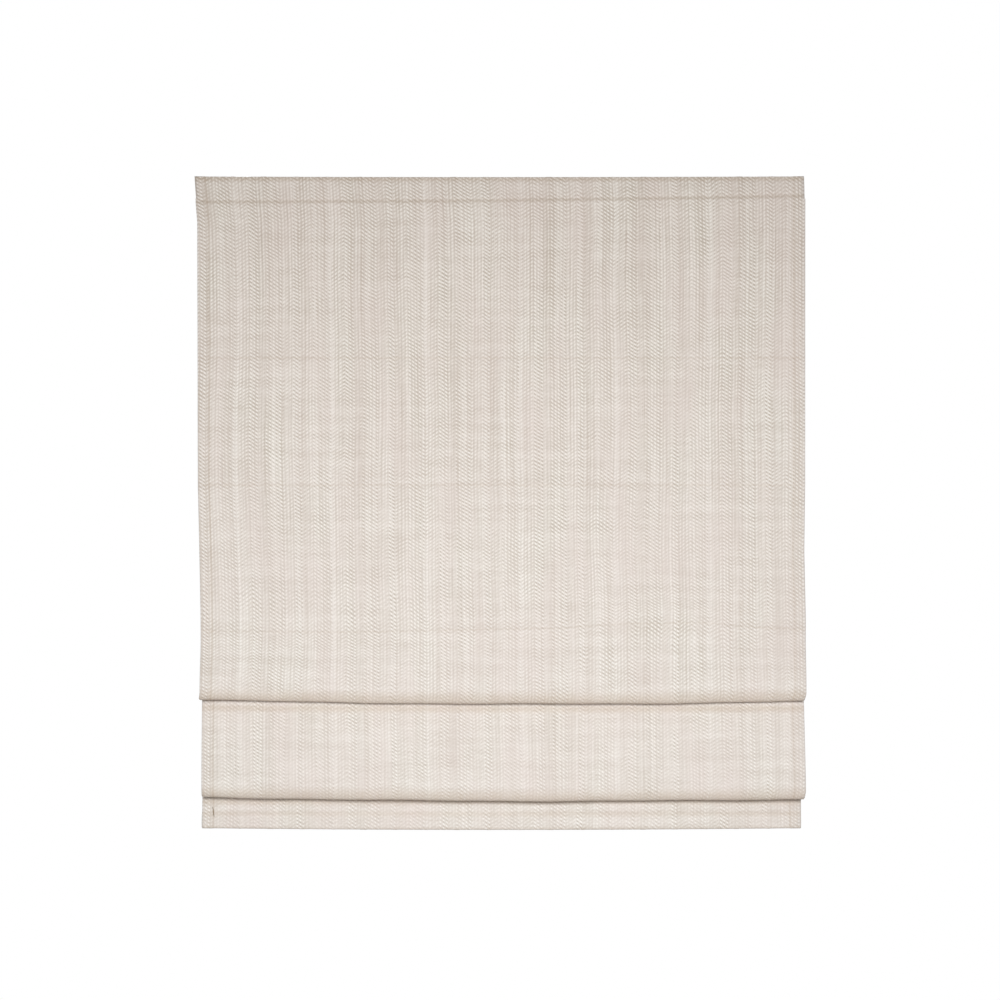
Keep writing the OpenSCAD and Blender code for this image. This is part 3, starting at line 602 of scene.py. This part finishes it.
def zigzagCloth():
    finish, w, shader = newFinish("zigzagCloth", {
        "Sheen Weight": 0.06, "Sheen Roughness": 0.6, "Specular IOR Level": 0.15})
    parts = w.node("SeparateXYZ", None, {0: w.node("UVMap", {"uv_map": "cloth"})})
    x, v = parts * perMetre, parts.output(1) * perMetre
    shares = weave["shares"]

    def noise(name):
        acrossScale, alongScale, seed, detail = weave["noises"][name]
        return stretched(w, x * acrossScale, v * alongScale, seed, detail)

    def gained(name):
        times, less = weave["gains"][name]
        return noise(name) * times - less

    x = x + (noise("wander") - 0.5) * weave["wander"]  # the stripes wander a little
    repeat = w.maths("FRACT", (x - cloth["stripeStart"]) / cloth["stripeRepeat"])
    stops, reach = climbStops()
    climb = w.node("ValToRGB", {"stops": stops}, {0: repeat}) * reach
    slip = (noise("slip") - 0.5) * weave["slip"]  # rows drift
    zigzag = w.maths("SINE", (v + climb + slip) * (2 * math.pi / weave["pitch"]))
    yarns = w.maths("SINE", x * (2 * math.pi / weave["yarn"])) * 0.5 + 0.5
    force = w.node("ValToRGB", {"stops": strengthStops(), "ease": "CONSTANT"}, {0: repeat})
    pattern = zigzag * (weave["between"] + yarns) * force * gained("patch")  # stronger here, fainter there
    lines = (yarns - 0.5) * gained("lines")
    tones = w.node("ValToRGB", {"stops": weave["tones"]}, {0: repeat}) - 0.5
    full, less = weave["paler"]
    fade = full - v * less  # all of it paler lower down
    names = ("slub", "weft", "streak", "fine", "speck")
    slub, weft, streak, fine, speck = (noise(name) - 0.5 for name in names)
    inside = (cloth["half"] - cloth["sideHem"]) * mm - abs(parts)
    lineAt, lineHalf, lineShare = weave["hemEdgeShadeLine"]
    hem = w.maths("LESS_THAN", inside, 0.0) * weave["hemTone"]
    # a painted shade line along each side hem's stitched inner edge
    hem = hem + w.maths("COMPARE", inside, lineAt, lineHalf) * lineShare
    stripes = pattern * shares["pattern"] + lines * shares["lines"] + tones
    stripes = stripes + streak * shares["streak"] + fine * shares["fine"]
    share = weave["middle"] + stripes * fade + slub * shares["slub"] + weft * shares["weft"]
    share = share + speck * shares["speck"] - hem
    color = mixColors(w, held(w, share), weave["dark"], weave["light"])
    color = mixColors(w, held(w, gained("blush")) * weave["rosyShare"], color, weave["rosy"])
    base, streaked = weave["shadeStrength"]
    # painted shade, browned where shade falls at the folds, top edge, bar pocket and sewn lines
    shadeStrength = paintedFoldShade(w, v, x / cloth["half"], inside) * (base + streak * streaked)
    color = mixColors(w, held(w, shadeStrength), color, weave["foldShadeColour"])
    rough, roughSpeck = weave["rough"]
    relief = bump(w, *weave["bump"], pattern + fine * weave["fineRelief"])
    feed(shader, color=color, rough=rough + speck * roughSpeck, normal=relief)
    return finish


def sewingThread(name, dark, light):
    finish, w, shader = newFinish(name, {"Specular IOR Level": 0.3})
    inputs = {"Vector": w.node("TexCoord", out=3), "Scale": stitch["twist"]}
    twist = w.node("TexWave", {"bands_direction": "DIAGONAL"}, inputs).output(1)
    feed(shader, color=mixColors(w, twist, dark, light), rough=stitch["rough"] + twist * stitch["roughTwist"])
    return finish


# A loose end of thread that lies on the hem, low on the left
loose = {
    "aboveFoot": 34.2, "long": 15, "x": -434.6, "slant": 3.2, "wave": 0.4, "waves": 6, "stand": 0.25,
    "thin": 0.35, "fuller": 0.55, "rings": 12, "sides": 6,
    "dark": levels(140, 124, 106), "light": levels(166, 150, 130),
}


def strayThread():
    q, sides, points, faces = loose, loose["sides"], [], []
    angles = np.linspace(0, 2 * math.pi, sides + 1)[:-1]
    for i, t in enumerate(np.linspace(0, 1, q["rings"])):
        s = footS - q["aboveFoot"] + q["long"] * t
        x = q["x"] + q["slant"] * t + q["wave"] * math.sin(q["waves"] * t)
        middle = onCloth(s, x, q["stand"])
        r = (q["thin"] + q["fuller"] * math.sin(math.pi * t)) * mm
        points += [middle + np.array([r * math.cos(a), r * math.sin(a), 0]) for a in angles]
        if i:
            faces += ringFaces(i, sides)
    ends = [tuple(range(sides)), tuple(reversed(range(len(points) - sides, len(points))))]
    return points, faces + ends


def headerS(x):  # place along the cloth of the header's stitches
    return faceS(headerLine(x / cloth["half"]))


clothFinish = zigzagCloth()
threadFinish = sewingThread("sewingThread", stitch["dark"], stitch["light"])
strayFinish = sewingThread("strayThread", loose["dark"], loose["light"])
stitchX = np.arange(stitch["fromX"], stitch["toX"], stitch["step"])
headerEnd = splitS - stitch["splitRoom"]
inHeader = [x for x in stitchX if headerS(x) < headerEnd]
inPanel = [x for x in stitchX if headerS(x) >= headerEnd]
header = clothPiece("clothHeader", rowS[:splitRow + 1], False, [(stitchLine(headerS, inHeader), 1)],
                    [clothFinish, threadFinish])
panelThreads = [(stitchLine(headerS, inPanel), 1)]
panelThreads += [(stitchLine(lambda x, z=z: faceS(z), stitchX), 1) for z in flatRibs]
panel = clothPiece("clothPanel", rowS[splitRow:hemRow + 1], True, panelThreads,
                   [clothFinish, threadFinish])
hemThreads = [(stitchLine(lambda x: rowS[hemRow] + stitch["inHem"], stitchX), 1), (strayThread(), 2)]
hemPocket = clothPiece("clothHem", rowS[hemRow:], True, hemThreads,
                       [clothFinish, threadFinish, strayFinish])
liftReach = 0.69
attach(header, "blind")
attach(panel, "blind")
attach(hemPocket, "bottom_rail")
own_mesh(panel)
for piece in (header, panel, hemPocket):
    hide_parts("shade_cloth")
print("cloth made:", len(panel.data.polygons), "faces in the panel,",
      len(header.data.polygons), "in the header")


# Woven tapes behind the cloth
tapes = {
    "x": [-330, 0, 330], "names": ["left", "centre", "right"], "wide": 10.0, "thick": 0.2, "y": -13.4,
    "top": -18.0, "foot": -960.7, "rows": 90, "selvedge": 0.12, "selvedgeX": (0.3, 1.2, 1.6),
    "shaftY": -6.05, "shaftZ": -18.0, "woundFrom": 6.25, "woundTo": 7.4, "woundRoom": 0.2,
    "woundThick": 0.17, "turns": 4.6, "turnSteps": 36, "pitch": 1.1,
    "dark": levels(222, 218, 210), "light": levels(246, 244, 239), "closer": 0.7, "mottle": (300, 2.0),
    "overShare": 0.3, "mottleShare": 0.5, "bump": (0.4, 0.0003), "rough": (0.82, 0.15),
}


def wovenTape(name, pitch, run):  # run: the axis that the tape runs along
    finish, w, shader = newFinish(name, {"Sheen Weight": 0.1, "Specular IOR Level": 0.25})
    parts, turn = solidPlace(w), 2 * perMetre * math.pi
    along = w.maths("SINE", parts.output(run) * (turn / pitch))
    over = along * w.maths("SINE", parts.output(2 - run) * (turn / (pitch * tapes["closer"])))
    mottle = evenNoise(w, parts, *tapes["mottle"]) - 0.5
    share = 0.5 + over * tapes["overShare"] + mottle * tapes["mottleShare"]
    color = mixColors(w, held(w, share), tapes["dark"], tapes["light"])
    rough, roughMottle = tapes["rough"]
    feed(shader, color=color, rough=rough + mottle * roughMottle, normal=bump(w, *tapes["bump"], over))
    return finish


def sweepX(name, outline, xs, stray, finish):  # a closed [y, z] outline carried along X
    count, points, faces = len(outline), [], []
    for i, x in enumerate(xs):
        points += [(x * mm, (y + stray(x, y)) * mm, z * mm) for y, z in outline]
        if i:
            faces += ringFaces(i, count)
    faces += [tuple(reversed(range(count))), tuple(range((len(xs) - 1) * count, len(xs) * count))]
    made = newMesh(name, points, faces, [finish])
    for face in (made.data.polygons[-1], made.data.polygons[-2]):
        face.use_smooth = False
    return made


def tapeRun(name, x, finish):  # a ribbon with thicker selvedges, from its spool down to its anchor
    t = tapes
    half, thin, thick = t["wide"] / 2, t["thick"] / 2, t["thick"] / 2 + t["selvedge"]
    rise, fall, flat = t["selvedgeX"]
    left = [(-half, thin), (-half + rise, thick), (-half + fall, thick), (-half + flat, thin)]
    side = left + [(-a, b) for a, b in reversed(left)]
    ring = side + [(a, -b) for a, b in reversed(side)]
    count, points, faces = len(ring), [], []
    for i, z in enumerate(np.linspace(t["top"], t["foot"], t["rows"])):
        points += [((x + a) * mm, (t["y"] + b) * mm, z * mm) for a, b in ring]
        if i:
            faces += ringFaces(i, count, flip=True)
    faces += [tuple(range(count)), tuple(reversed(range(len(points) - count, len(points))))]
    return newMesh(name, points, faces, [finish], smooth=False)


def tapeCoil(name, x, finish):  # the turns already wound on the spool
    t = tapes
    count = int(t["turns"] * t["turnSteps"])
    section = [(-1, 0), (1, 0), (1, t["woundThick"]), (-1, t["woundThick"])]
    points, faces = [], []
    for i in range(count + 1):
        angle = math.radians(180) + i / t["turnSteps"] * 2 * math.pi
        r = t["woundTo"] - (t["woundTo"] - t["woundFrom"] - t["woundRoom"]) * i / count
        for side, deep in section:
            y = t["shaftY"] + (r - deep) * math.cos(angle)
            z = t["shaftZ"] + (r - deep) * math.sin(angle)
            points.append(((x + side * t["wide"] / 2) * mm, y * mm, z * mm))
        if i:
            faces += ringFaces(i, len(section))
    faces += [tuple(reversed(range(len(section)))), tuple(range(len(points) - len(section), len(points)))]
    return newMesh(name, points, faces, [finish], smooth=False)


ribbonFinish = wovenTape("ribbonWeave", tapes["pitch"], 2)
for x, side in zip(tapes["x"], tapes["names"]):
    run = tapeRun("liftRibbon." + side, x, ribbonFinish)
    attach(run, "blind")
    tapes["top"] * mm
    1 - liftReach / ((tapes["top"] - tapes["foot"]) * mm)
    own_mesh(run)
    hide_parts("lift_tape_" + side)
    coil = tapeCoil("woundRibbon." + side, x, ribbonFinish)
    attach(coil, "shaft")
print("lift ribbons made")

pocket = {
    "y": -18.3, "half": 422.9, "tube": 3.0, "stripFront": -21.5, "stripThick": 0.8, "stripHalf": 5.0,
    "sunk": 0.15, "tubeSteps": 16, "columns": 220, "pitch": 1.6,
    "pucker": 0.12, "puckerTurn": 1.46, "puckerFrom": -20, "puckerBlend": 2,
}
touchTape = {
    "half": 434.0, "z": -18.0, "high": 24.0, "loop": (-20.4, -19.2), "hook": (-19.2, -18.0),
    "bevel": 0.3, "columns": 120, "pitch": 2.0,
}


def pocketOutline(z):  # a flat strip with the rod's tube standing behind it
    p = pocket
    front, back = p["stripFront"], p["stripFront"] + p["stripThick"]
    low, high = z - p["stripHalf"], z + p["stripHalf"]
    meet = math.degrees(math.acos((back + p["sunk"] - p["y"]) / p["tube"]))
    tube = arcRows(p["y"], z, p["tube"], -meet, meet, p["tubeSteps"])
    return [(front, high), (front, low), (back, low)] + tube + [(back, high)]


def pocketPucker(x, y):  # only the tube puckers
    share = max(0.0, min(1.0, (y - pocket["puckerFrom"]) / pocket["puckerBlend"]))
    return pocket["pucker"] * math.sin(x * pocket["puckerTurn"]) * share


pocketFinish = wovenTape("pocketTape", pocket["pitch"], 0)
for i, z in enumerate(cloth["ribs"], 1):
    xs = np.linspace(-pocket["half"], pocket["half"], pocket["columns"])
    tube = sweepX("rodPocket.%d" % i, pocketOutline(z), xs, pocketPucker, pocketFinish)
    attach(tube, "rib_%d" % i)
    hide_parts("rib_%d_pocket" % i)
print("rod pockets made")

touchFinish = wovenTape("touchTape", touchTape["pitch"], 0)
for kind in ("loop", "hook"):
    front, back = touchTape[kind]
    bevel = touchTape["bevel"]
    low, high = touchTape["z"] - touchTape["high"] / 2, touchTape["z"] + touchTape["high"] / 2
    outline = [
        (front, high - bevel), (front, low + bevel), (front + bevel, low), (back - bevel, low),
        (back, low + bevel), (back, high - bevel), (back - bevel, high), (front + bevel, high)]
    xs = np.linspace(-touchTape["half"], touchTape["half"], touchTape["columns"])
    strip = sweepX(kind + "Strip", outline, xs, lambda x, y: 0.0, touchFinish)
    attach(strip, "blind")
    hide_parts(kind + "_tape")
print("touch tapes made")


# Hardware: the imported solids, with their real finishes
hardware = {
    "coat": {"tones": (levels(238, 238, 235), levels(246, 246, 243)),
             "grain": 1400, "rough": 0.42, "peel": 0.25},
    "plastic": {"tones": (levels(228, 228, 225), levels(238, 238, 236)),
                "grain": 2600, "rough": 0.5, "peel": 0.12},
    "guide": {"tones": (levels(214, 216, 214), levels(232, 234, 233)),
              "grain": 2600, "rough": 0.36, "peel": 0.1},
    "zinc": {"tones": (levels(176, 180, 186), levels(206, 208, 212)), "rough": 0.34},
    "spring": {"tones": (levels(108, 114, 124), levels(150, 156, 164)), "rough": 0.28},
    "rod": {"tones": (levels(204, 210, 190), levels(232, 235, 220)),
            "grain": 900, "rough": 0.38, "peel": 0.2},
    "coatCloud": (22, 3.0), "skinDetail": 2.0, "coatPeel": 0.0002, "coatRough": (0.2, 0.12),
    "drawn": (30, 2600, 2.0), "metalCloud": (90, 3.0), "metalMix": (0.6, 0.4), "metalBump": (0.12, 0.0001),
    "metalRough": (0.2, 0.15),
}


def coated(name, kind):  # powder coat or moulded plastic
    h, s = hardware, hardware[kind]
    finish, w, shader = newFinish(name, {"Specular IOR Level": 0.45})
    place = solidPlace(w)
    cloud = evenNoise(w, place, *h["coatCloud"])
    skin = evenNoise(w, place, s["grain"], h["skinDetail"])
    cloudRough, skinRough = h["coatRough"]
    rough = s["rough"] + (cloud - 0.5) * cloudRough + (skin - 0.5) * skinRough
    relief = bump(w, s["peel"], h["coatPeel"], skin)
    feed(shader, color=mixColors(w, cloud, *s["tones"]), rough=rough, normal=relief)
    return finish


def drawnMetal(name, kind):  # plated or rolled metal, streaked along X
    h, s = hardware, hardware[kind]
    finish, w, shader = newFinish(name, {"Metallic": 1.0})
    place = solidPlace(w)
    along, cross, detail = h["drawn"]
    streak = stretched(w, place * along, place.output(1) * cross, place.output(2) * cross, detail)
    cloud = evenNoise(w, place, *h["metalCloud"])
    cloudShare, streakShare = h["metalMix"]
    streakRough, cloudRough = h["metalRough"]
    color = mixColors(w, cloud * cloudShare + streak * streakShare, *s["tones"])
    rough = s["rough"] + (streak - 0.5) * streakRough + (cloud - 0.5) * cloudRough
    feed(shader, color=color, rough=rough, normal=bump(w, *h["metalBump"], streak))
    return finish


coat = coated("whitePowderCoat", "coat")
plastic = coated("mouldedPlastic", "plastic")
guide = coated("guidePlastic", "guide")
zinc = drawnMetal("zincPlate", "zinc")
spring = drawnMetal("springSteel", "spring")
rod = coated("glassFibre", "rod")
for name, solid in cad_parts.items():
    if name in ("headrail", "bottom_bar"):
        finish = coat
    elif name in ("bracket_left", "bracket_right", "swivel_rivets", "lift_shaft", "drum_pin"):
        finish = zinc
    elif name == "power_spring":
        finish = spring
    elif name.endswith("_rod"):
        finish = rod
    elif name.endswith("_guides") or name.startswith("tape_"):
        finish = guide
    else:
        finish = plastic
    for place in solid.material_slots:
        place.material = finish
print("hardware dressed")


# Studio: soft light from the front and a little above, strongest low down, plain white all round
studio = {
    "key": {"at": (0, -2.3, -0.15), "aim": (0, 0, -1.0), "size": (2.6, 0.7), "watts": 18.8, "spread": 100,
            "tint": (0.948, 0.982, 1)},
    "top": {"at": (0, -2.0, 0.2), "aim": (0, 0, 0), "size": (2.2, 0.5), "watts": 0.7, "spread": 60,
            "tint": (1, 0.8, 0.58)},
    "low": {"at": (0, -1.6, -1.5), "aim": (0, 0, -0.85), "size": (2.0, 0.4), "watts": 0.9, "spread": 90,
            "tint": (1, 0.9, 0.82)},
    "back": {"at": (0, 2.6, 0.1), "aim": (0, 0, -0.5), "size": (3.0, 1.6), "watts": 48, "spread": 180,
             "tint": (1, 1, 1)},
    "ambient": 0.16, "ambientTint": (1, 0.95, 0.88, 1), "white": (1, 1, 1, 1),
    "floorZ": -1.6, "floorRound": 0.95, "floorSides": 96, "floorCloud": (9, 3.0),
    "floorTones": ((0.86, 0.86, 0.86, 1), (0.9, 0.9, 0.9, 1)),
}


def softLamp(name):
    s = studio[name]
    lamp = bpy.data.lights.new(name, "AREA")
    lamp.shape = "RECTANGLE"
    lamp.size, lamp.size_y = s["size"]
    lamp.energy, lamp.spread, lamp.color = s["watts"], math.radians(s["spread"]), s["tint"]
    made = bpy.data.objects.new(name, lamp)
    made.location = s["at"]
    made.rotation_euler = (Vector(s["aim"]) - Vector(s["at"])).to_track_quat("-Z", "Y").to_euler()
    scene.collection.objects.link(made)


for name in ("key", "top", "low", "back"):
    softLamp(name)

# The world is white where the camera sees it, also by reflection or through glass, and dimmer as a light
world = bpy.data.worlds.new("white")
scene.world = world
world.use_nodes = True
w = Wire(world.node_tree)
path = w.node("LightPath")
seen = path.maths("MAXIMUM", path.maths("MAXIMUM", path, path.output(3)), path.output(6))
strength = studio["ambient"] + seen * (1 - studio["ambient"])
tint = mixColors(w, seen, studio["ambientTint"], studio["white"])
glow = world.node_tree.nodes["Background"]
world.node_tree.links.new(tint.socket, glow.inputs["Color"])
world.node_tree.links.new(strength.socket, glow.inputs["Strength"])

floorFinish, w, shader = newFinish("paleFloor", {"Roughness": 0.9, "Specular IOR Level": 0.1})
place = solidPlace(w)
scale, detail = studio["floorCloud"]
cloud = stretched(w, place * scale, place.output(1) * scale, 0.0, detail)
feed(shader, color=mixColors(w, cloud, *studio["floorTones"]))
sides, r = studio["floorSides"], studio["floorRound"]
angles = np.linspace(0, 2 * math.pi, sides + 1)[:-1]
ring = [(r * math.cos(a), r * math.sin(a), studio["floorZ"]) for a in angles]
newMesh("floor", ring, [tuple(range(sides))], [floorFinish], smooth=False)
scene.view_settings.view_transform = "Standard"
print("studio lit")
